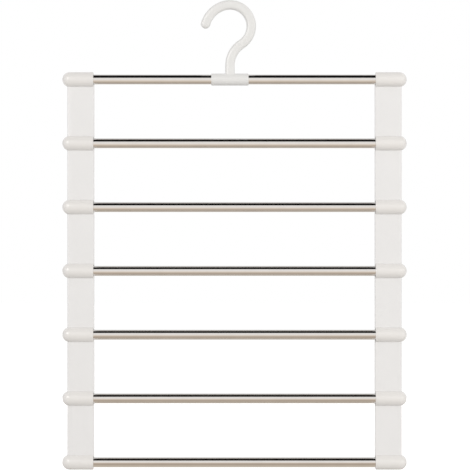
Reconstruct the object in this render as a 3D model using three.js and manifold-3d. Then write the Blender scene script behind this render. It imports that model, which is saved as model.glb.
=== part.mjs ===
// Multi tier trouser hanger. A moulded hook turns and slides on the top bar. Two notched side strips
// carry the chromed bars one under another, and a domed cap closes each end of each bar and clasps
// the strip. Millimetres, +Z up, with the front facing -Y. The origin is the underside of the
// hook's arch, where the hanger hangs on a wardrobe pole.

import * as THREE from 'three';
import { mergeVertices } from 'three/addons/utils/BufferGeometryUtils.js';
import Module from 'manifold-3d';

const wasm = await Module();
wasm.setup();

// Tiers
const tierCount = 7;
const tierPitch = 68.5;
const clearSpan = 301.2;
const hookOffset = 4.9;

// Fits and cuts
const fitClearance = 0.3;
const cutOverrun = 1;

// Bars, drawn as thin tube
const rodDiameter = 11;
const rodWall = 0.6;

// Side strips
const stripWidth = 29;
const stripThickness = 4;
const stripWeb = 7;
const stripEdgeRadius = 1.4;
const stripCornerRadius = 2.5;

// End caps
const capWall = 2.2;
const capOverhang = 5.4;
const capSetback = 0.8;
const capMouthChamfer = 0.6;

// Hook and its sleeve
const hookBarWidth = 10.3;
const hookBarDepth = 9;
const hookEdgeRadius = 2;
const archInnerRadius = 17.75;
const tailInnerRadius = 23.85;
const neckRadius = 27.8;
const stemHeight = 15;
const footRadius = 1.2;
const sleeveWall = 0.7;
const sleeveLength = 40;
const sleeveChamfer = 0.5;
const archEndAngle = THREE.MathUtils.degToRad(105.2);
const tailSweep = THREE.MathUtils.degToRad(58.1);

// Fineness of round shapes, as counts
const roundSides = 24;
const domeRings = 4;
const outlineArcSteps = 9;
const edgeSteps = 3;

// The largest share of a wall that one rounded edge may take
const edgeLimitShare = 0.4;

// Sizes that follow from the driving dimensions
const rodRadius = rodDiameter / 2;
const seatRadius = rodRadius + fitClearance;
const capRadius = seatRadius + capWall;
const sleeveRadius = seatRadius + sleeveWall;
const capLength = stripWidth - capSetback + capOverhang;
const notchDepth = stripWidth - stripWeb;
const rodLength = clearSpan + 2 * (notchDepth - fitClearance);
const barHalf = hookBarWidth / 2;
const archRadius = archInnerRadius + barHalf;
const tailRadius = tailInnerRadius + barHalf;
const bendAngle = Math.acos(neckRadius / (archRadius + neckRadius));
const archHeight = stemHeight + Math.sqrt(archRadius ** 2 + 2 * archRadius * neckRadius);
const topRodZ = -archInnerRadius - archHeight;
const stripDrop = (tierCount - 1) * tierPitch;

const whitePlastic = {
  color: new THREE.Color(0.92, 0.91, 0.89),
  roughness: 0.34,
  metalness: 0,
};
const hookFinish = new THREE.MeshStandardMaterial(whitePlastic);
const stripFinish = new THREE.MeshStandardMaterial({ ...whitePlastic, roughness: 0.4 });
const capFinish = new THREE.MeshStandardMaterial({ ...whitePlastic, roughness: 0.3 });
const rodFinish = new THREE.MeshStandardMaterial({
  color: new THREE.Color(0.82, 0.82, 0.83),
  roughness: 0.08,
  metalness: 1,
});

/** Closes a geometry into a solid that can be joined and cut. */
function solidOf(geometry) {
  geometry.deleteAttribute('normal');
  geometry.deleteAttribute('uv');
  const merged = mergeVertices(geometry);
  const corners = merged.index.array;
  const triangles = [];
  for (let start = 0; start < corners.length; start += 3) {
    const [a, b, c] = corners.slice(start, start + 3);
    if (a !== b && b !== c && c !== a) {
      triangles.push(a, b, c);
    }
  }
  return new wasm.Manifold(new wasm.Mesh({
    numProp: 3,
    vertProperties: Float32Array.from(merged.attributes.position.array),
    triVerts: Uint32Array.from(triangles),
  }));
}

/** Gives a solid's surface back as a geometry. */
function geometryOf(solid) {
  const surface = solid.getMesh();
  const geometry = new THREE.BufferGeometry();
  geometry.setAttribute('position', new THREE.BufferAttribute(Float32Array.from(surface.vertProperties), 3));
  geometry.setIndex(new THREE.BufferAttribute(Uint32Array.from(surface.triVerts), 1));
  geometry.computeVertexNormals();
  return geometry;
}

/** A named piece with its finish. */
function piece(name, geometry, finish) {
  const mesh = new THREE.Mesh(geometry, finish);
  mesh.name = name;
  return mesh;
}

/** A solid turned about the X axis from a profile of [radius, x] pairs. */
function turnedAlongX(profile) {
  const points = profile.map(([radius, x]) => new THREE.Vector2(radius, x));
  return solidOf(new THREE.LatheGeometry(points, roundSides).rotateZ(-Math.PI / 2));
}

/** A round bar along X from one x to another. */
function roundBar(radius, fromX, toX) {
  return turnedAlongX([[0, fromX], [radius, fromX], [radius, toX], [0, toX]]);
}

/** A plate from an outline in the XZ plane, centred on y = 0, with all its edges rounded. */
function roundedPlate(outline, thickness, edgeRadius) {
  const edge = Math.min(edgeRadius, thickness * edgeLimitShare);
  const core = thickness - 2 * edge;
  const plate = new THREE.ExtrudeGeometry(outline, {
    depth: core,
    steps: 1,
    curveSegments: outlineArcSteps,
    bevelEnabled: true,
    bevelThickness: edge,
    bevelSize: edge,
    bevelOffset: -edge,
    bevelSegments: edgeSteps,
  });
  return plate.translate(0, 0, -core / 2).rotateX(Math.PI / 2);
}

/** One chromed bar: an open tube that reaches into the caps at both of its ends. */
function makeRod() {
  const half = rodLength / 2;
  const shell = roundBar(rodRadius, -half, half);
  const bore = roundBar(rodRadius - rodWall, -half - cutOverrun, half + cutOverrun);
  return geometryOf(shell.subtract(bore));
}

/** The profile of a cap, from the centre of its mouth over the domed end back to the axis. */
function capProfile() {
  const domeStart = capLength - capRadius;
  const profile = [
    [0, 0],
    [capRadius - capMouthChamfer, 0],
    [capRadius, capMouthChamfer],
    [capRadius, domeStart],
  ];
  for (let ring = 1; ring < domeRings; ring += 1) {
    const angle = (ring / domeRings) * (Math.PI / 2);
    profile.push([capRadius * Math.cos(angle), domeStart + capRadius * Math.sin(angle)]);
  }
  profile.push([0, capLength]);
  return profile;
}

/**
 * One end cap with its mouth at x = 0 and its dome towards +X. A blind bore takes the bar's end, and
 * a slot takes the strip, which runs on above the cap, below it or both. The strip's inner edge
 * stands a little proud of the mouth.
 */
function makeCap(stripAbove, stripBelow) {
  const bore = roundBar(seatRadius, -cutOverrun, notchDepth - capSetback);
  const open = capRadius + cutOverrun;
  const top = stripAbove ? open : seatRadius;
  const bottom = stripBelow ? -open : -seatRadius;
  const slotStart = -cutOverrun;
  const slotEnd = stripWidth - capSetback + fitClearance;
  const slotBox = new THREE.BoxGeometry(slotEnd - slotStart, stripThickness + 2 * fitClearance, top - bottom);
  const slot = solidOf(slotBox.translate((slotStart + slotEnd) / 2, 0, (top + bottom) / 2));
  return geometryOf(turnedAlongX(capProfile()).subtract(bore).subtract(slot));
}

/**
 * The strip's outline with its inner edge at x = 0 and the top bar's axis at z = 0. Each bar sits in
 * a notch, and the notches of the top and bottom bars are open at the strip's ends.
 */
function stripOutline() {
  const endRise = rodRadius;
  const top = endRise;
  const bottom = -stripDrop - endRise;
  const corner = Math.min(stripCornerRadius, stripWeb * edgeLimitShare);
  const outline = new THREE.Shape();
  outline.moveTo(notchDepth, top);
  outline.lineTo(notchDepth, -seatRadius);
  outline.lineTo(0, -seatRadius);
  for (let tier = 1; tier < tierCount - 1; tier += 1) {
    const axis = -tier * tierPitch;
    outline.lineTo(0, axis + seatRadius);
    outline.lineTo(notchDepth, axis + seatRadius);
    outline.lineTo(notchDepth, axis - seatRadius);
    outline.lineTo(0, axis - seatRadius);
  }
  outline.lineTo(0, -stripDrop + seatRadius);
  outline.lineTo(notchDepth, -stripDrop + seatRadius);
  outline.lineTo(notchDepth, bottom);
  outline.lineTo(stripWidth - corner, bottom);
  outline.absarc(stripWidth - corner, bottom + corner, corner, -Math.PI / 2, 0, false);
  outline.lineTo(stripWidth, top - corner);
  outline.absarc(stripWidth - corner, top - corner, corner, 0, Math.PI / 2, false);
  outline.closePath();
  return outline;
}

/** One side strip with its inner edge at x = 0. */
function makeStrip() {
  return geometryOf(solidOf(roundedPlate(stripOutline(), stripThickness, stripEdgeRadius)));
}

/**
 * The hook's outline round its centreline, with the top bar's axis at x = 0, z = 0: a foot that
 * flares onto the sleeve, a straight stem, a neck that bends right, the arch, and a wider tail with
 * a round tip.
 */
function hookOutline() {
  const footHalf = barHalf + footRadius;
  const footTop = sleeveRadius + footRadius;
  const tailX = (archRadius - tailRadius) * Math.cos(archEndAngle);
  const tailZ = archHeight + (archRadius - tailRadius) * Math.sin(archEndAngle);
  const tipAngle = archEndAngle + tailSweep;
  const tipX = tailX + tailRadius * Math.cos(tipAngle);
  const tipZ = tailZ + tailRadius * Math.sin(tipAngle);
  const neckEnd = Math.PI - bendAngle;
  const outline = new THREE.Shape();
  outline.moveTo(-footHalf, 0);
  outline.lineTo(footHalf, 0);
  outline.lineTo(footHalf, sleeveRadius);
  outline.absarc(footHalf, footTop, footRadius, -Math.PI / 2, -Math.PI, true);
  outline.absarc(neckRadius, stemHeight, neckRadius - barHalf, Math.PI, neckEnd, true);
  outline.absarc(0, archHeight, archRadius + barHalf, -bendAngle, archEndAngle, false);
  outline.absarc(tailX, tailZ, tailRadius + barHalf, archEndAngle, tipAngle, false);
  outline.absarc(tipX, tipZ, barHalf, tipAngle, tipAngle + Math.PI, false);
  outline.absarc(tailX, tailZ, tailRadius - barHalf, tipAngle, archEndAngle, true);
  outline.absarc(0, archHeight, archRadius - barHalf, archEndAngle, -bendAngle, true);
  outline.absarc(neckRadius, stemHeight, neckRadius + barHalf, neckEnd, Math.PI, false);
  outline.absarc(-footHalf, footTop, footRadius, 0, -Math.PI / 2, true);
  outline.closePath();
  return outline;
}

/** The sleeve that the top bar runs through, still without its bore. */
function sleeveBody() {
  const half = sleeveLength / 2;
  return turnedAlongX([
    [0, -half],
    [sleeveRadius - sleeveChamfer, -half],
    [sleeveRadius, -half + sleeveChamfer],
    [sleeveRadius, half - sleeveChamfer],
    [sleeveRadius - sleeveChamfer, half],
    [0, half],
  ]);
}

/** The hook in one moulding with its sleeve, with the sleeve's axis at x = 0, z = 0. */
function makeHook() {
  const reach = sleeveLength / 2 + cutOverrun;
  const bar = solidOf(roundedPlate(hookOutline(), hookBarDepth, hookEdgeRadius));
  return geometryOf(bar.add(sleeveBody()).subtract(roundBar(seatRadius, -reach, reach)));
}

/** One side of the hanger, with the strip's inner edge at x = 0 and its outer edge towards +X. */
function makeSide(side) {
  const group = new THREE.Group();
  group.add(piece(`strip_${side}`, makeStrip(), stripFinish));
  for (let tier = 0; tier < tierCount; tier += 1) {
    const cap = piece(`cap_${side}_${tier + 1}`, makeCap(tier > 0, tier < tierCount - 1), capFinish);
    cap.position.set(capSetback, 0, -tier * tierPitch);
    group.add(cap);
  }
  return group;
}

/** The bars, the top one with its axis at z = 0. */
function makeRods() {
  const group = new THREE.Group();
  for (let tier = 0; tier < tierCount; tier += 1) {
    const rod = piece(`rod_${tier + 1}`, makeRod(), rodFinish);
    rod.position.z = -tier * tierPitch;
    group.add(rod);
  }
  return group;
}

/** The whole hanger, with the hook left of the middle as it hangs. */
function makeHanger() {
  const hanger = new THREE.Group();
  const hook = piece('hook', makeHook(), hookFinish);
  hook.position.z = topRodZ;
  const ladder = new THREE.Group();
  ladder.position.set(hookOffset, 0, topRodZ);
  const right = makeSide('right');
  right.position.x = clearSpan / 2;
  const left = makeSide('left');
  left.position.x = -clearSpan / 2;
  left.rotation.z = Math.PI;
  ladder.add(makeRods(), left, right);
  hanger.add(hook, ladder);
  return hanger;
}

export default makeHanger();
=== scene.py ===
"""The looks of a multi tier trouser hanger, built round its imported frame.

White moulded plastic carries seven chromed bars. The hook turns and slides on the top bar, and a
domed cap closes each end of each bar and clasps the side strip. Lengths are metres, with +Z up and
the front facing -Y.
"""

import logging
import math
from dataclasses import dataclass
from enum import Enum
from itertools import product
from typing import Sequence

import bmesh
import bpy
from mathutils import Matrix, Vector


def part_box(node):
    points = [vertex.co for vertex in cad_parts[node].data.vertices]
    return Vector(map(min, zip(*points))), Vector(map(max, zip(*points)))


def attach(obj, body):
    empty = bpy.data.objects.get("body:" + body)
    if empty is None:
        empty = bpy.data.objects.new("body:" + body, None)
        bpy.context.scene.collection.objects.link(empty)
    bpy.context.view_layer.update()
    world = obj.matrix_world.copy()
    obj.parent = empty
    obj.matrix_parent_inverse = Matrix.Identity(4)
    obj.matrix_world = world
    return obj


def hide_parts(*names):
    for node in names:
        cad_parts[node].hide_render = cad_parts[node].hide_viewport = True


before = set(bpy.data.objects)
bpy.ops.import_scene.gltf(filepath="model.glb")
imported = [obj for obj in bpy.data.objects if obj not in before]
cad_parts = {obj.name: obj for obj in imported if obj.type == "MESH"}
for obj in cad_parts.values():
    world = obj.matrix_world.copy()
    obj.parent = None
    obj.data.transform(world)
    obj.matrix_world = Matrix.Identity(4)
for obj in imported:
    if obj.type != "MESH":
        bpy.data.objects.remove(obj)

LOG = logging.getLogger("hanger")
MM = 0.001
TIERS = 7
SEAT_RADIUS = 5.8 * MM
MERGE_REACH = 0.001 * MM
NOISE_LOW = 0.3
NOISE_HIGH = 0.7

Colour = tuple[float, float, float]
Point2 = tuple[float, float]
Point3 = tuple[float, float, float]

WHITE: Colour = (1.0, 1.0, 1.0)


class Side(Enum):
    """The two sides of the ladder, as seen from the front."""

    LEFT = "left"
    RIGHT = "right"

    def placing(self, low: Vector, high: Vector, height: float) -> Matrix:
        """The move of a piece that is drawn for the right, with its inner end at x = 0.

        Args:
            low: The lowest corner of the piece's box in the frame.
            high: Its highest corner.
            height: How far up the piece goes.

        Returns:
            The move to the piece's place on this side.
        """
        inner = low.x if self is Side.RIGHT else high.x
        turn = 0.0 if self is Side.RIGHT else math.pi
        return Matrix.Translation((inner, 0.0, height)) @ Matrix.Rotation(turn, 4, "Z")


class Reach(Enum):
    """Where the strip runs on from a cap."""

    BELOW = "below"
    BOTH = "both"
    ABOVE = "above"


class NodeGraph:
    """A material's or a world's node tree, with short ways to add and join nodes."""

    def __init__(self, owner: bpy.types.ID) -> None:
        """Empties the owner's node tree.

        Args:
            owner: The material or world whose nodes are made.
        """
        owner.use_nodes = True
        self.tree = owner.node_tree
        self.tree.nodes.clear()

    def add(self, kind: str, **settings: object) -> bpy.types.Node:
        """Adds a node and sets its properties.

        Args:
            kind: The node's type name.
            settings: Properties of the node, by name.

        Returns:
            The new node.
        """
        made = self.tree.nodes.new(kind)
        for name, value in settings.items():
            setattr(made, name, value)
        return made

    def join(self, source: bpy.types.NodeSocket, target: bpy.types.NodeSocket) -> None:
        """Links one socket to another."""
        self.tree.links.new(source, target)

    def noise(
        self, place: bpy.types.NodeSocket, scale: float, detail: float
    ) -> bpy.types.NodeSocket:
        """Adds a noise texture at a place.

        Args:
            place: The vector that the noise is read at.
            scale: Noise cells to the metre.
            detail: Octaves of finer noise.

        Returns:
            The noise's value.
        """
        texture = self.add("ShaderNodeTexNoise")
        texture.inputs["Scale"].default_value = scale
        texture.inputs["Detail"].default_value = detail
        self.join(place, texture.inputs["Vector"])
        return texture.outputs["Fac"]

    def spread(
        self, value: bpy.types.NodeSocket, low: float, high: float
    ) -> bpy.types.NodeSocket:
        """Spreads a noise value over a range.

        Args:
            value: The noise, mostly between its named ends.
            low: The result at the noise's low end.
            high: The result at its high end.

        Returns:
            The spread value.
        """
        remap = self.add("ShaderNodeMapRange")
        remap.inputs["From Min"].default_value = NOISE_LOW
        remap.inputs["From Max"].default_value = NOISE_HIGH
        remap.inputs["To Min"].default_value = low
        remap.inputs["To Max"].default_value = high
        self.join(value, remap.inputs["Value"])
        return remap.outputs["Result"]

    def blend(
        self, value: bpy.types.NodeSocket, first: Colour, second: Colour
    ) -> bpy.types.NodeSocket:
        """Blends two colours by a noise value.

        Args:
            value: The noise, mostly between its named ends.
            first: The colour at the noise's low end.
            second: The colour at its high end.

        Returns:
            The blended colour.
        """
        ramp = self.add("ShaderNodeValToRGB")
        ramp.color_ramp.elements[0].position = NOISE_LOW
        ramp.color_ramp.elements[0].color = (*first, 1.0)
        ramp.color_ramp.elements[1].position = NOISE_HIGH
        ramp.color_ramp.elements[1].color = (*second, 1.0)
        self.join(value, ramp.inputs["Fac"])
        return ramp.outputs["Color"]

    def bump(
        self,
        height: bpy.types.NodeSocket,
        depth: float,
        strength: float,
        under: bpy.types.NodeSocket | None = None,
    ) -> bpy.types.NodeSocket:
        """Raises the surface by a height value.

        Args:
            height: The height, from 0 to 1.
            depth: What a height of 1 stands for, in metres.
            strength: How much of the bump shows.
            under: A bump that this one lies on.

        Returns:
            The bumped normal.
        """
        made = self.add("ShaderNodeBump")
        made.inputs["Distance"].default_value = depth
        made.inputs["Strength"].default_value = strength
        self.join(height, made.inputs["Height"])
        if under is not None:
            self.join(under, made.inputs["Normal"])
        return made.outputs["Normal"]


    def source(self, kind: str, colour: Colour, strength: float) -> bpy.types.NodeSocket:
        """Adds a shader that gives off light.

        Args:
            kind: The node's type name, a background or an emission.
            colour: The light's colour.
            strength: How bright it is.

        Returns:
            The shader.
        """
        made = self.add(kind)
        made.inputs["Color"].default_value = (*colour, 1.0)
        made.inputs["Strength"].default_value = strength
        return made.outputs[0]

    def rays(self, *kinds: str) -> bpy.types.NodeSocket:
        """Tells rays of some kinds from all others.

        Args:
            kinds: The kinds, as the light path's outputs are named.

        Returns:
            1 for a ray of one of the kinds, else 0.
        """
        path = self.add("ShaderNodeLightPath")
        found = path.outputs[kinds[0]]
        for kind in kinds[1:]:
            either = self.add("ShaderNodeMath", operation="MAXIMUM")
            self.join(found, either.inputs[0])
            self.join(path.outputs[kind], either.inputs[1])
            found = either.outputs[0]
        return found

    def mix(
        self,
        share: bpy.types.NodeSocket,
        first: bpy.types.NodeSocket,
        second: bpy.types.NodeSocket,
    ) -> bpy.types.NodeSocket:
        """Mixes two shaders.

        Args:
            share: How much of the second shader there is.
            first: The first shader.
            second: The second shader.

        Returns:
            The mixed shader.
        """
        made = self.add("ShaderNodeMixShader")
        self.join(share, made.inputs["Fac"])
        self.join(first, made.inputs[1])
        self.join(second, made.inputs[2])
        return made.outputs[0]

    def show(self, shader: bpy.types.NodeSocket, kind: str = "ShaderNodeOutputMaterial") -> None:
        """Sends a shader to the surface.

        Args:
            shader: The shader.
            kind: The output node's type name.
        """
        output = self.add(kind)
        self.join(shader, output.inputs["Surface"])


@dataclass(frozen=True)
class Finish:
    """A finish in two close tones, built once for all the pieces that wear it."""

    name: str
    colour: Colour
    mottle: Colour
    roughness_low: float
    roughness_high: float

    def material(self) -> bpy.types.Material:
        """Builds the finish the first time and hands out the same material after that.

        Returns:
            The material.
        """
        made = bpy.data.materials.get(self.name)
        if made is None:
            made = bpy.data.materials.new(self.name)
            self.wire(NodeGraph(made))
        return made

    def wire(self, graph: NodeGraph) -> None:
        """Adds the finish's nodes.

        Args:
            graph: The material's empty node tree.
        """
        raise NotImplementedError


@dataclass(frozen=True)
class PlasticFinish(Finish):
    """White moulded plastic: a soft gloss over a faint grain and a mould's slow waves."""

    mottle_cells: float = 38.0
    gloss_cells: float = 120.0
    cloud_detail: float = 3.0
    wave_cells: float = 40.0
    wave_detail: float = 1.0
    wave_depth: float = 0.03 * MM
    wave_strength: float = 0.5
    grain_cells: float = 1500.0
    grain_detail: float = 2.0
    grain_depth: float = 0.002 * MM
    grain_strength: float = 0.6
    refraction: float = 1.49

    def wire(self, graph: NodeGraph) -> None:
        """Adds the plastic's nodes.

        Args:
            graph: The material's empty node tree.
        """
        place = graph.add("ShaderNodeTexCoord").outputs["Object"]
        shader = graph.add("ShaderNodeBsdfPrincipled")
        cloud = graph.noise(place, self.mottle_cells, self.cloud_detail)
        graph.join(graph.blend(cloud, self.colour, self.mottle), shader.inputs["Base Color"])
        gloss = graph.noise(place, self.gloss_cells, self.cloud_detail)
        roughness = graph.spread(gloss, self.roughness_low, self.roughness_high)
        graph.join(roughness, shader.inputs["Roughness"])
        height = graph.noise(place, self.wave_cells, self.wave_detail)
        wave = graph.bump(height, self.wave_depth, self.wave_strength)
        height = graph.noise(place, self.grain_cells, self.grain_detail)
        grain = graph.bump(height, self.grain_depth, self.grain_strength, wave)
        graph.join(grain, shader.inputs["Normal"])
        shader.inputs["IOR"].default_value = self.refraction
        graph.show(shader.outputs["BSDF"])


@dataclass(frozen=True)
class ChromeFinish(Finish):
    """Bright chromium plate on drawn tube, with faint polishing lines along the bar."""

    haze_cells: float = 90.0
    haze_detail: float = 4.0
    line_stretch: float = 0.02
    line_cells: float = 2400.0
    line_detail: float = 3.0
    line_depth: float = 0.0015 * MM
    line_strength: float = 0.35

    def wire(self, graph: NodeGraph) -> None:
        """Adds the chrome's nodes.

        Args:
            graph: The material's empty node tree.
        """
        place = graph.add("ShaderNodeTexCoord").outputs["Object"]
        along = graph.add("ShaderNodeMapping")
        along.inputs["Scale"].default_value = (self.line_stretch, 1.0, 1.0)
        graph.join(place, along.inputs["Vector"])
        lines = graph.noise(along.outputs["Vector"], self.line_cells, self.line_detail)
        haze = graph.noise(place, self.haze_cells, self.haze_detail)
        shader = graph.add("ShaderNodeBsdfPrincipled")
        graph.join(graph.blend(haze, self.colour, self.mottle), shader.inputs["Base Color"])
        roughness = graph.spread(haze, self.roughness_low, self.roughness_high)
        graph.join(roughness, shader.inputs["Roughness"])
        normal = graph.bump(lines, self.line_depth, self.line_strength)
        graph.join(normal, shader.inputs["Normal"])
        shader.inputs["Metallic"].default_value = 1.0
        graph.show(shader.outputs["BSDF"])


HOOK_PLASTIC = PlasticFinish(
    "hook white", (0.766, 0.770, 0.764), (0.756, 0.760, 0.754), 0.29, 0.34
)
STRIP_PLASTIC = PlasticFinish(
    "strip white", (0.788, 0.789, 0.791), (0.778, 0.779, 0.781), 0.36, 0.42
)
CAP_PLASTIC = PlasticFinish(
    "cap white", (0.790, 0.778, 0.761), (0.780, 0.768, 0.751), 0.16, 0.21
)
BAR_CHROME = ChromeFinish(
    "bright chrome", (0.80, 0.79, 0.78), (0.77, 0.76, 0.75), 0.035, 0.075
)


def new_piece(name: str, data: bpy.types.ID) -> bpy.types.Object:
    """Links an object for a mesh, a lamp or a camera.

    Args:
        name: The object's name.
        data: What it shows.

    Returns:
        The new object.
    """
    made = bpy.data.objects.new(name, data)
    bpy.context.scene.collection.objects.link(made)
    return made


def mesh_from(
    name: str, points: Sequence[Point3], faces: Sequence[Sequence[int]]
) -> bpy.types.Mesh:
    """Makes a mesh from points and faces, with its faces turned outwards.

    Args:
        name: The mesh's name.
        points: The corners.
        faces: Each face as the numbers of its corners.

    Returns:
        The mesh.
    """
    mesh = bpy.data.meshes.new(name)
    mesh.from_pydata([Vector(point) for point in points], [], faces)
    work = bmesh.new()
    work.from_mesh(mesh)
    bmesh.ops.recalc_face_normals(work, faces=work.faces)
    work.to_mesh(mesh)
    work.free()
    return mesh


def lathe(name: str, profile: Sequence[Point2], sides: int, ring: bool = False) -> bpy.types.Mesh:
    """Turns a profile about the X axis.

    Args:
        name: The mesh's name.
        profile: Pairs of x and radius. A radius of zero makes a pole.
        sides: Corners round the axis.
        ring: Whether the profile closes on itself, as a tube's does.

    Returns:
        The turned mesh.
    """
    points: list[Point3] = []
    rows: list[list[int]] = []
    for x, radius in profile:
        count = 1 if radius == 0 else sides
        rows.append(list(range(len(points), len(points) + count)))
        for step in range(count):
            angle = math.tau * step / sides
            points.append((x, radius * math.cos(angle), radius * math.sin(angle)))
    pairs = list(zip(rows, rows[1:]))
    if ring:
        pairs.append((rows[-1], rows[0]))
    faces: list[Sequence[int]] = []
    for first, second in pairs:
        for step in range(sides):
            after = (step + 1) % sides
            corners = [first[step % len(first)], first[after % len(first)]]
            corners += [second[after % len(second)], second[step % len(second)]]
            faces.append(list(dict.fromkeys(corners)))
    return mesh_from(name, points, faces)


def joined(first: bpy.types.Mesh, second: bpy.types.Mesh, operation: str) -> bpy.types.Mesh:
    """Joins two closed meshes, or cuts the second out of the first, and drops the slivers.

    Args:
        first: The mesh that is kept.
        second: The mesh that is added or cut out.
        operation: UNION or DIFFERENCE.

    Returns:
        The result as a new mesh.
    """
    base = new_piece("join_base", first)
    tool = new_piece("join_tool", second)
    modifier = base.modifiers.new("join", "BOOLEAN")
    modifier.object = tool
    modifier.operation = operation
    modifier.solver = "EXACT"
    graph = bpy.context.evaluated_depsgraph_get()
    result = bpy.data.meshes.new_from_object(base.evaluated_get(graph))
    for helper in (base, tool):
        bpy.data.objects.remove(helper)
    work = bmesh.new()
    work.from_mesh(result)
    bmesh.ops.remove_doubles(work, verts=work.verts, dist=MERGE_REACH)
    bmesh.ops.dissolve_degenerate(work, edges=work.edges, dist=MERGE_REACH)
    work.to_mesh(result)
    work.free()
    return result


def box_mesh(name: str, low: Point3, high: Point3) -> bpy.types.Mesh:
    """Makes a box between two corners, to cut with.

    Args:
        name: The mesh's name.
        low: The lowest corner.
        high: The highest corner.

    Returns:
        The box.
    """
    points = list(product(*zip(low, high)))
    faces = [(0, 1, 3, 2), (4, 6, 7, 5), (0, 4, 5, 1), (2, 3, 7, 6), (0, 2, 6, 4), (1, 5, 7, 3)]
    return mesh_from(name, points, faces)


def arc(centre: Point2, radius: float, start: float, end: float, steps: int) -> list[Point2]:
    """Points along an arc, with both of its ends.

    Args:
        centre: The arc's centre.
        radius: Its radius.
        start: Its first angle, in radians.
        end: Its last angle.
        steps: How many pieces it has.

    Returns:
        The points in order.
    """
    points = []
    for step in range(steps + 1):
        angle = start + (end - start) * step / steps
        points.append((centre[0] + radius * math.cos(angle), centre[1] + radius * math.sin(angle)))
    return points


def dress(
    mesh: bpy.types.Mesh,
    name: str,
    node: str,
    finish: Finish,
    body: str,
    crease: float = 38.0,
) -> bpy.types.Object:
    """Makes a finished piece of a mesh that is already in its place.

    Args:
        mesh: The piece's mesh.
        name: The piece's name.
        node: The frame's node that it stands for.
        finish: Its finish.
        body: The body that it moves with.
        crease: Edges sharper than this many degrees stay sharp.

    Returns:
        The piece.
    """
    mesh.materials.clear()
    mesh.materials.append(finish.material())
    mesh.shade_smooth()
    mesh.set_sharp_from_angle(angle=math.radians(crease))
    made = new_piece(name, mesh)
    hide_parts(node)
    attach(made, body)
    LOG.info("%s: %d faces", name, len(mesh.polygons))
    return made


def axis_height(tier: int) -> float:
    """Reads the height of a bar's axis from the frame.

    Args:
        tier: The bar's tier, from 1 at the top.

    Returns:
        The height.
    """
    low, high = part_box(f"rod_{tier}")
    return (low.z + high.z) / 2


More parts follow.
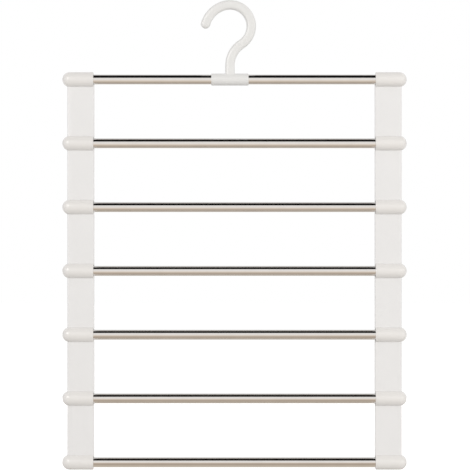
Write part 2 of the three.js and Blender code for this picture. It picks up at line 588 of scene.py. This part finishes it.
@dataclass
class Hook:
    """The hook and its sleeve, one moulding, with a soft rounded section and a round tip."""

    arch_inner: float = 17.79 * MM
    tail_inner: float = 23.89 * MM
    neck_radius: float = 27.8 * MM
    stem_height: float = 15.0 * MM
    foot_radius: float = 1.2 * MM
    bar_width: float = 10.22 * MM
    bar_depth: float = 9.0 * MM
    sleeve_length: float = 40.0 * MM
    arch_end: float = math.radians(105.2)
    tail_sweep: float = math.radians(58.1)
    sleeve_edge: float = 0.7 * MM
    sleeve_edge_steps: int = 5
    sleeve_sides: int = 120
    bore_reach: float = 1.2
    section_power: float = 3.0
    section_points: int = 64
    ring_step: float = 0.8 * MM
    stem_rings: int = 6
    stem_lift: float = 1.6
    tip_rings: int = 14
    skirt_rings: int = 7
    skirt_end: float = math.radians(76.0)
    buried_width: float = 0.85
    buried_height: float = 0.5

    def __post_init__(self) -> None:
        """Reads the sleeve's and the bar's places from the frame."""
        low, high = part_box("hook")
        self.axis_z = axis_height(1)
        self.sleeve_radius = (high.y - low.y) / 2
        self.half = self.bar_width / 2
        self.half_depth = self.bar_depth / 2
        self.sleeve_half = self.sleeve_length / 2
        self.arch_radius = self.arch_inner + self.half
        self.tail_radius = self.tail_inner + self.half
        self.bend = math.acos(self.neck_radius / (self.arch_radius + self.neck_radius))
        rise = math.sqrt(self.arch_radius**2 + 2 * self.arch_radius * self.neck_radius)
        self.arch_height = self.stem_height + rise

    def section(self) -> list[Point2]:
        """The bar's cross section, a rounded oblong.

        Returns:
            The section's points, across its width and its depth.
        """
        power = self.section_power
        points = []
        for step in range(self.section_points):
            angle = math.tau * step / self.section_points
            across = abs(math.cos(angle) / self.half) ** power
            deep = abs(math.sin(angle) / self.half_depth) ** power
            radius = (across + deep) ** (-1 / power)
            points.append((radius * math.cos(angle), radius * math.sin(angle)))
        return points

    def outward(self, point: Point2) -> Point2:
        """The direction straight out of the section at one of its points.

        Args:
            point: A point of the section.

        Returns:
            The direction, of length 1.
        """
        across, deep = point
        power = self.section_power - 1
        slope = Vector((
            math.copysign(abs(across / self.half) ** power / self.half, across),
            math.copysign(abs(deep / self.half_depth) ** power / self.half_depth, deep),
        )).normalized()
        return slope.x, slope.y

    def centreline(self) -> list[tuple[Point2, Point2]]:
        """The stem's, neck's, arch's and tail's middle line, from the stem's foot to the tip.

        Returns:
            Pairs of a place and the direction straight to the right of the line there.
        """
        line = []
        first = self.sleeve_radius + self.foot_radius * self.stem_lift
        for step in range(self.stem_rings):
            height = first + (self.stem_height - first) * step / self.stem_rings
            line.append(((0.0, height), (1.0, 0.0)))
        centre = (self.neck_radius, self.stem_height)
        line += self.bend_run(centre, self.neck_radius, math.pi, math.pi - self.bend, False)
        centre = (0.0, self.arch_height)
        line += self.bend_run(centre, self.arch_radius, -self.bend, self.arch_end, True)
        shift = self.arch_radius - self.tail_radius
        centre = (
            shift * math.cos(self.arch_end),
            self.arch_height + shift * math.sin(self.arch_end),
        )
        tip_angle = self.arch_end + self.tail_sweep
        line += self.bend_run(centre, self.tail_radius, self.arch_end, tip_angle, True)
        return line

    def bend_run(
        self, centre: Point2, radius: float, start: float, end: float, outward: bool
    ) -> list[tuple[Point2, Point2]]:
        """One arc of the middle line, without its first point.

        Args:
            centre: The arc's centre.
            radius: Its radius.
            start: Its first angle.
            end: Its last angle.
            outward: Whether the line's right hand points away from the centre.

        Returns:
            Pairs of a place and the direction to the right there.
        """
        steps = max(2, round(abs(end - start) * radius / self.ring_step))
        run = []
        for place in arc(centre, radius, start, end, steps)[1:]:
            away = Vector((place[0] - centre[0], place[1] - centre[1])).normalized()
            right = away if outward else -away
            run.append((place, (right.x, right.y)))
        return run

    def ring_at(
        self, place: Point2, right: Point2, section: Sequence[Point2], width: float, depth: float
    ) -> list[Point3]:
        """One ring of the swept bar.

        Args:
            place: The ring's middle, as x and z.
            right: The direction that the section's width lies in.
            section: The section's points.
            width: The share of the width that is left here.
            depth: The share of the depth that is left here.

        Returns:
            The ring's points.
        """
        ring = []
        for across, deep in section:
            x = place[0] + right[0] * across * width
            z = place[1] + right[1] * across * width
            ring.append((x, deep * depth, z))
        return ring

    def sleeve_top(self, deep: float) -> float:
        """The height of the sleeve's round surface at a depth from its middle."""
        return math.sqrt(self.sleeve_radius**2 - deep**2)

    def skirt(self, section: Sequence[Point2]) -> list[list[Point3]]:
        """The rings that flare the stem onto the sleeve, from inside the sleeve upwards.

        Args:
            section: The section's points.

        Returns:
            The rings, lowest first.
        """
        rings = []
        for step in range(self.skirt_rings + 1):
            angle = self.skirt_end * (1 - step / self.skirt_rings)
            out = self.foot_radius * (1 - math.cos(angle))
            rise = self.foot_radius * (1 - math.sin(angle))
            ring = []
            for across, deep in section:
                normal = self.outward((across, deep))
                y = deep + normal[1] * out
                ring.append((across + normal[0] * out, y, self.sleeve_top(y) + rise))
            rings.append(ring)
        across, up = self.buried_width, self.buried_height
        buried = [(x * across, y * across, z * up) for x, y, z in rings[0]]
        return [buried, *rings]

    def sweep(self) -> bpy.types.Mesh:
        """The swept bar from inside the sleeve to the round tip, as one closed mesh.

        Returns:
            The bar, with the sleeve's axis at x = 0, z = 0.
        """
        section = self.section()
        line = self.centreline()
        rings = self.skirt(section)
        rings += [self.ring_at(place, right, section, 1.0, 1.0) for place, right in line]
        last, right = line[-1]
        ahead = (-right[1], right[0])
        for step in range(1, self.tip_rings):
            share = math.sin(math.pi / 2 * step / self.tip_rings)
            width = math.sqrt(1 - share**2)
            depth = (1 - share**self.section_power) ** (1 / self.section_power)
            place = (
                last[0] + ahead[0] * self.half * share,
                last[1] + ahead[1] * self.half * share,
            )
            rings.append(self.ring_at(place, right, section, width, depth))
        count = self.section_points
        points = [point for ring in rings for point in ring]
        faces: list[Sequence[int]] = []
        for row in range(len(rings) - 1):
            for step in range(count):
                after = (step + 1) % count
                start = row * count
                above = start + count
                faces.append((start + step, start + after, above + after, above + step))
        tip = (last[0] + ahead[0] * self.half, 0.0, last[1] + ahead[1] * self.half)
        points += [(0.0, 0.0, 0.0), tip]
        end = (len(rings) - 1) * count
        for step in range(count):
            after = (step + 1) % count
            faces.append((after, step, len(points) - 2))
            faces.append((end + step, end + after, len(points) - 1))
        return mesh_from("hook bar", points, faces)

    def sleeve(self) -> bpy.types.Mesh:
        """The sleeve with rounded ends, still without its bore.

        Returns:
            The sleeve's mesh, with its axis at z = 0.
        """
        radius = self.sleeve_radius - self.sleeve_edge
        reach = self.sleeve_half - self.sleeve_edge
        right = arc((reach, radius), self.sleeve_edge, 0.0, math.pi / 2, self.sleeve_edge_steps)
        left = [(-x, r) for x, r in reversed(right)]
        profile = [(self.sleeve_half, 0.0), *right, *left, (-self.sleeve_half, 0.0)]
        return lathe("sleeve", profile, self.sleeve_sides)

    def bore(self) -> bpy.types.Mesh:
        """The round cut that the top bar runs through.

        Returns:
            The cut's mesh, with its axis at z = 0.
        """
        reach = self.sleeve_half * self.bore_reach
        profile = [(-reach, 0.0), (-reach, SEAT_RADIUS), (reach, SEAT_RADIUS), (reach, 0.0)]
        return lathe("sleeve bore", profile, self.sleeve_sides)

    def build(self) -> None:
        """Builds the hook, sets it on the top bar and dresses it."""
        solid = joined(self.sweep(), self.sleeve(), "UNION")
        solid = joined(solid, self.bore(), "DIFFERENCE")
        solid.transform(Matrix.Translation((0.0, 0.0, self.axis_z)))
        dress(solid, "hook_moulding", "hook", HOOK_PLASTIC, "hook")


@dataclass
class Bars:
    """The seven chromed tubes, whose ends lie hidden in the caps."""

    wall: float = 0.6 * MM
    end_edge: float = 0.12 * MM
    sides: int = 160

    def build(self) -> None:
        """Builds each bar round its node in the frame."""
        for tier in range(1, TIERS + 1):
            node = f"rod_{tier}"
            low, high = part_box(node)
            radius = (high.z - low.z) / 2
            inner = radius - self.wall
            edge = self.end_edge
            profile = [
                (low.x, inner + edge), (low.x, radius - edge), (low.x + edge, radius),
                (high.x - edge, radius), (high.x, radius - edge), (high.x, inner + edge),
                (high.x - edge, inner), (low.x + edge, inner),
            ]
            mesh = lathe(f"bar {tier}", profile, self.sides, ring=True)
            mesh.transform(Matrix.Translation((0.0, 0.0, axis_height(tier))))
            body = "top_bar" if tier == 1 else "ladder"
            dress(mesh, f"bar_{tier}", node, BAR_CHROME, body)


@dataclass
class Caps:
    """The domed end caps: a blind bore for the bar and a slot that clasps the strip."""

    bar_play: float = 0.3 * MM
    slot_play: float = 0.08 * MM
    mouth_edge: float = 0.6 * MM
    mouth_edge_steps: int = 5
    bore_edge: float = 0.25 * MM
    sides: int = 96
    dome_rings: int = 20
    overrun: float = 1.0 * MM

    def profile(self, length: float, radius: float) -> list[Point2]:
        """The cap's outline: from the bore's end, out at the mouth and over the dome.

        Args:
            length: The cap's length.
            radius: Its radius.

        Returns:
            Pairs of x and radius.
        """
        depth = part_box("rod_2")[1].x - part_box("cap_right_2")[0].x + self.bar_play
        edge = self.bore_edge
        bore = [(depth, 0.0), (depth, SEAT_RADIUS), (edge, SEAT_RADIUS), (0.0, SEAT_RADIUS + edge)]
        edge = self.mouth_edge
        lip = arc((edge, radius - edge), edge, math.pi, math.pi / 2, self.mouth_edge_steps)
        dome = arc((length - radius, 0.0), radius, math.pi / 2, 0.0, self.dome_rings)
        return [*bore, *lip, *dome[:-1], (length, 0.0)]

    def slot_box(self, radius: float, reach: Reach) -> bpy.types.Mesh:
        """The cut that the strip lies in.

        Args:
            radius: The cap's radius.
            reach: Where the strip runs on from the cap.

        Returns:
            The box to cut out.
        """
        strip_low, strip_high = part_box("strip_right")
        cap_low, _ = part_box("cap_right_2")
        half = (strip_high.y - strip_low.y) / 2 + self.slot_play
        far = strip_high.x - cap_low.x + self.slot_play
        top = SEAT_RADIUS if reach is Reach.BELOW else radius + self.overrun
        bottom = -SEAT_RADIUS if reach is Reach.ABOVE else -radius - self.overrun
        return box_mesh("cap slot", (-self.overrun, -half, bottom), (far, half, top))

    def shape(self, length: float, radius: float, reach: Reach) -> bpy.types.Mesh:
        """One cap with its mouth at x = 0 and its dome towards +X.

        Args:
            length: The cap's length.
            radius: Its radius.
            reach: Where the strip runs on from the cap.

        Returns:
            The cap's mesh.
        """
        solid = lathe("cap", self.profile(length, radius), self.sides)
        return joined(solid, self.slot_box(radius, reach), "DIFFERENCE")

    def reach_of(self, tier: int) -> Reach:
        """Where the strip runs on from the cap of a tier.

        Args:
            tier: The tier, from 1 at the top.

        Returns:
            The way or ways.
        """
        if tier == 1:
            return Reach.BELOW
        return Reach.ABOVE if tier == TIERS else Reach.BOTH

    def build(self, side: Side) -> None:
        """Builds the caps of one side.

        Args:
            side: The side of the ladder.
        """
        low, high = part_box(f"cap_{side.value}_2")
        length = high.x - low.x
        radius = (high.y - low.y) / 2
        shapes = {reach: self.shape(length, radius, reach) for reach in Reach}
        for tier in range(1, TIERS + 1):
            name = f"end_cap_{side.value}_{tier}"
            node = f"cap_{side.value}_{tier}"
            mesh = shapes[self.reach_of(tier)].copy()
            mesh.transform(side.placing(low, high, axis_height(tier)))
            dress(mesh, name, node, CAP_PLASTIC, "ladder")


@dataclass
class Strips:
    """The side strips: flat, with rounded edges, and notched at each bar inside the caps."""

    web: float = 7.0 * MM
    edge_radius: float = 1.3 * MM
    edge_steps: int = 6
    edge_profile: float = 0.5
    corner_radius: float = 2.5 * MM
    corner_steps: int = 6
    level_reach: float = 0.1 * MM
    crease: float = 30.0

    def outline(
        self, width: float, top: float, bottom: float, axes: Sequence[float]
    ) -> list[Point2]:
        """The strip's outline with its inner edge at x = 0.

        Args:
            width: The strip's width.
            top: Its upper end.
            bottom: Its lower end.
            axes: The heights of the bars, from the top one down.

        Returns:
            The outline's points as x and z.
        """
        deep = width - self.web
        seat = SEAT_RADIUS
        points = [(deep, top), (deep, axes[0] - seat), (0.0, axes[0] - seat)]
        for axis in axes[1:-1]:
            upper, lower = axis + seat, axis - seat
            points += [(0.0, upper), (deep, upper), (deep, lower), (0.0, lower)]
        points += [(0.0, axes[-1] + seat), (deep, axes[-1] + seat), (deep, bottom)]
        corner = self.corner_radius
        low_corner = (width - corner, bottom + corner)
        high_corner = (width - corner, top - corner)
        points += arc(low_corner, corner, -math.pi / 2, 0.0, self.corner_steps)
        points += arc(high_corner, corner, 0.0, math.pi / 2, self.corner_steps)
        return points

    def plate(self, outline: Sequence[Point2], thickness: float) -> bpy.types.Mesh:
        """A plate from an outline, with the edges of both its faces rounded.

        Args:
            outline: The outline as x and z.
            thickness: The plate's thickness along Y.

        Returns:
            The plate's mesh, centred on y = 0.
        """
        work = bmesh.new()
        corners = [work.verts.new((x, -thickness / 2, z)) for x, z in outline]
        face = work.faces.new(corners)
        swept = bmesh.ops.extrude_face_region(work, geom=[face])["geom"]
        moved = [part for part in swept if isinstance(part, bmesh.types.BMVert)]
        bmesh.ops.translate(work, verts=moved, vec=(0.0, thickness, 0.0))
        bmesh.ops.recalc_face_normals(work, faces=work.faces)
        rims = []
        for edge in work.edges:
            start, end = edge.verts
            if abs(start.co.y - end.co.y) < self.level_reach:
                rims.append(edge)
        bmesh.ops.bevel(
            work,
            geom=rims,
            offset=self.edge_radius,
            offset_type="OFFSET",
            segments=self.edge_steps,
            profile=self.edge_profile,
            affect="EDGES",
            clamp_overlap=True,
        )
        mesh = bpy.data.meshes.new("strip")
        work.to_mesh(mesh)
        work.free()
        return mesh

    def build(self, side: Side) -> None:
        """Builds the strip of one side.

        Args:
            side: The side of the ladder.
        """
        node = f"strip_{side.value}"
        low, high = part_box(node)
        axes = [axis_height(tier) for tier in range(1, TIERS + 1)]
        mesh = self.plate(self.outline(high.x - low.x, high.z, low.z, axes), high.y - low.y)
        mesh.transform(side.placing(low, high, 0.0))
        name = f"side_strip_{side.value}"
        dress(mesh, name, node, STRIP_PLASTIC, "ladder", self.crease)


class Shows(Enum):
    """Which part of a surface's light a lamp shows in."""

    BODY = "body"
    GLOSS = "gloss"
    BOTH = "both"


@dataclass(frozen=True)
class Lamp:
    """A soft square lamp: its name, place, side length, power, colour and where it shows."""

    name: str
    place: Point3
    size: float
    watts: float
    colour: Colour
    shows: Shows

    def build(self, target: Point3) -> None:
        """Stands the lamp in its place.

        Args:
            target: The point that it faces.
        """
        light = bpy.data.lights.new(self.name, "AREA")
        light.size = self.size
        light.energy = self.watts
        light.color = self.colour
        made = new_piece(self.name, light)
        made.location = self.place
        aim = Vector(target) - Vector(self.place)
        made.rotation_euler = aim.to_track_quat("-Z", "Y").to_euler()
        made.visible_glossy = self.shows is not Shows.BODY
        made.visible_diffuse = self.shows is not Shows.GLOSS


LAMPS = (
    Lamp("front", (1.7, -3.9, 0.6), 2.2, 87.0, (1.0, 0.97, 0.926), Shows.BODY),
    Lamp("rear", (0.0, 2.4, 0.2), 1.8, 28.0, (1.0, 0.99, 0.98), Shows.BODY),
    Lamp("left_fill", (-2.4, -0.2, 0.1), 0.8, 15.0, (1.0, 0.99, 1.0), Shows.BODY),
    Lamp("right_fill", (2.1, -1.0, 0.3), 0.65, 2.5, (0.88, 0.98, 1.0), Shows.BOTH),
    Lamp("soft_box", (-0.87, -1.3, 0.3), 0.9, 10.0, (1.0, 0.98, 0.96), Shows.GLOSS),
)

# Each overhead board's name, its lower and upper edge in degrees up from the front, and its level.
OVERHEAD_BOARDS = (
    ("front_board", -6.0, 37.3, 0.92),
    ("black_board", 37.5, 92.0, 0.006),
    ("grey_board", 92.2, 105.0, 0.16),
    ("rear_board", 105.2, 122.0, 0.5),
)

# Places along Y, from the front to the rear, and the tan board's tone at each.
WARM_TONES = (
    (-1.6, (0.92, 0.84, 0.76)),
    (-0.85, (0.88, 0.79, 0.70)),
    (-0.62, (0.80, 0.71, 0.61)),
    (-0.45, (0.70, 0.61, 0.51)),
    (-0.27, (0.57, 0.48, 0.40)),
    (-0.12, (0.49, 0.41, 0.34)),
    (-0.03, (0.58, 0.50, 0.41)),
    (0.04, (0.78, 0.70, 0.60)),
    (0.09, (0.55, 0.48, 0.41)),
    (0.14, (0.32, 0.28, 0.23)),
    (0.2, (0.38, 0.33, 0.28)),
    (0.3, (0.72, 0.65, 0.58)),
    (0.42, (0.98, 0.93, 0.87)),
)


def glow_material(name: str) -> bpy.types.Material:
    """Makes a material whose glow isn't used as a lamp, so only rays that meet it see it.

    Args:
        name: The material's name.

    Returns:
        The material, still without nodes of its own.
    """
    made = bpy.data.materials.new(name)
    made.cycles.emission_sampling = "NONE"
    return made


@dataclass
class Studio:
    """A pale floor under the hanging object, soft light, reflection boards and the camera."""

    middle_x: float = 5.44 * MM
    middle_z: float = -242.15 * MM
    distance: float = 2.2
    view_width: float = 0.505
    sensor_mm: float = 36.0
    world_colour: Colour = (1.0, 0.98, 0.975)
    world_level: float = 0.625
    floor_z: float = -0.62
    floor_half: float = 9.0
    floor_colour: Colour = (0.63, 0.625, 0.618)
    floor_share: float = 0.62
    floor_level: float = 1.46
    board_half: float = 9.0
    board_radius: float = 6.0
    board_steps: int = 16
    board_lift: float = 5.0 * MM
    warm_near: float = 1.2
    warm_far: float = -3.4
    card_colour: Colour = (1.0, 0.97, 0.94)
    card_level: float = 0.4
    card_x: float = 2.6
    card_front: float = -1.6
    card_rear: float = 3.0
    card_bottom: float = -1.4
    card_top: float = 1.2

    def world(self) -> None:
        """Lights the scene evenly, and shows plain white to the camera, metal and glass."""
        world = bpy.data.worlds.new("studio")
        bpy.context.scene.world = world
        graph = NodeGraph(world)
        seen = graph.rays("Is Camera Ray", "Is Glossy Ray", "Is Transmission Ray")
        light = graph.source("ShaderNodeBackground", self.world_colour, self.world_level)
        white = graph.source("ShaderNodeBackground", WHITE, 1.0)
        graph.show(graph.mix(seen, light, white), "ShaderNodeOutputWorld")

    def floor(self) -> None:
        """Lays the pale floor, which keeps the object's shadow."""
        half = self.floor_half
        corners = [(-half, -half, 0.0), (half, -half, 0.0), (half, half, 0.0), (-half, half, 0.0)]
        mesh = mesh_from("floor", corners, [(0, 1, 2, 3)])
        mesh.transform(Matrix.Translation((0.0, 0.0, self.floor_z)))
        made = new_piece("floor", mesh)
        material = glow_material("pale floor")
        graph = NodeGraph(material)
        share = graph.add("ShaderNodeMath", operation="MULTIPLY")
        share.inputs[1].default_value = self.floor_share
        graph.join(graph.rays("Is Camera Ray", "Is Glossy Ray"), share.inputs[0])
        diffuse = graph.add("ShaderNodeBsdfDiffuse")
        diffuse.inputs["Color"].default_value = (*self.floor_colour, 1.0)
        glow = graph.source("ShaderNodeEmission", WHITE, self.floor_level)
        graph.show(graph.mix(share.outputs[0], diffuse.outputs[0], glow))
        mesh.materials.append(material)

    def gloss_only(self, made: bpy.types.Object) -> None:
        """Keeps a board out of sight but for the gloss.

        Args:
            made: The board.
        """
        made.visible_camera = False
        made.visible_diffuse = False
        made.visible_transmission = False
        made.visible_shadow = False

    def glow(self, name: str, level: float) -> bpy.types.Material:
        """A plain glowing material, which lights nothing but the gloss that meets it.

        Args:
            name: The material's name.
            level: How bright it is.

        Returns:
            The material.
        """
        material = glow_material(name)
        graph = NodeGraph(material)
        graph.show(graph.source("ShaderNodeEmission", self.card_colour, level))
        return material

    def board(self, name: str, path: Sequence[Point2]) -> bpy.types.Object:
        """A long reflection board, bent along a path across the view and seen in the gloss alone.

        Args:
            name: The board's name.
            path: Its bends, as y and z.

        Returns:
            The board.
        """
        points = [(x, y, z) for y, z in path for x in (-self.board_half, self.board_half)]
        faces = [(2 * i, 2 * i + 1, 2 * i + 3, 2 * i + 2) for i in range(len(path) - 1)]
        made = new_piece(name, mesh_from(name, points, faces))
        self.gloss_only(made)
        return made

    def overhead_board(self, name: str, start: float, end: float, level: float) -> None:
        """A board on an arc over the object.

        Args:
            name: The board's name.
            start: Its lower edge, in degrees up from the front.
            end: Its upper edge, in degrees up from the front.
            level: How bright it is.
        """
        angles = (math.pi - math.radians(start), math.pi - math.radians(end))
        path = arc((0.0, self.middle_z), self.board_radius, *angles, self.board_steps)
        made = self.board(name, path)
        made.data.materials.append(self.glow(name, level))

    def side_card(self, name: str, x: float) -> None:
        """A dark card beside the object, which draws its edges.

        Args:
            name: The card's name.
            x: Where it stands along X.
        """
        front, rear, bottom, top = self.card_front, self.card_rear, self.card_bottom, self.card_top
        corners = [(x, front, bottom), (x, rear, bottom), (x, rear, top), (x, front, top)]
        made = new_piece(name, mesh_from(name, corners, [(0, 1, 2, 3)]))
        self.gloss_only(made)
        made.data.materials.append(self.glow(name, self.card_level))

    def warm_board(self) -> None:
        """A tan board just over the floor, darkest a little behind the object."""
        near, far = self.warm_near, self.warm_far
        height = self.floor_z + self.board_lift
        made = self.board("warm_board", [(far, height), (near, height)])
        material = glow_material("warm board")
        graph = NodeGraph(material)
        parts = graph.add("ShaderNodeSeparateXYZ")
        graph.join(graph.add("ShaderNodeTexCoord").outputs["Object"], parts.inputs[0])
        remap = graph.add("ShaderNodeMapRange")
        remap.inputs["From Min"].default_value = far
        remap.inputs["From Max"].default_value = near
        graph.join(parts.outputs["Y"], remap.inputs["Value"])
        ramp = graph.add("ShaderNodeValToRGB")
        elements = ramp.color_ramp.elements
        elements.remove(elements[0])
        elements[0].position = 1.0
        elements[0].color = (*WHITE, 1.0)
        for y, tone in WARM_TONES:
            elements.new((y - far) / (near - far)).color = (*tone, 1.0)
        graph.join(remap.outputs["Result"], ramp.inputs["Fac"])
        glow = graph.add("ShaderNodeEmission")
        graph.join(ramp.outputs["Color"], glow.inputs["Color"])
        graph.show(glow.outputs[0])
        made.data.materials.append(material)

    def camera(self) -> None:
        """Places the camera as the photograph was taken, level and square to the front."""
        data = bpy.data.cameras.new("camera")
        data.sensor_width = self.sensor_mm
        data.lens = self.sensor_mm * self.distance / self.view_width
        made = new_piece("camera", data)
        made.location = (self.middle_x, -self.distance, self.middle_z)
        made.rotation_euler = (math.pi / 2, 0.0, 0.0)
        bpy.context.scene.camera = made

    def build(self) -> None:
        """Sets the whole studio up."""
        bpy.context.scene.view_settings.view_transform = "Standard"
        self.camera()
        self.world()
        self.floor()
        for name, start, end, level in OVERHEAD_BOARDS:
            self.overhead_board(name, start, end, level)
        self.warm_board()
        self.side_card("left_card", -self.card_x)
        self.side_card("right_card", self.card_x)
        for lamp in LAMPS:
            lamp.build((self.middle_x, 0.0, self.middle_z))


def main() -> None:
    """Builds the hanger piece by piece, and then the studio round it."""
    logging.basicConfig(level=logging.INFO, format="%(name)s %(message)s")
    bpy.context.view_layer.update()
    Studio().build()
    Hook().build()
    Bars().build()
    for side in Side:
        Strips().build(side)
        Caps().build(side)


if __name__ == "__main__":
    main()
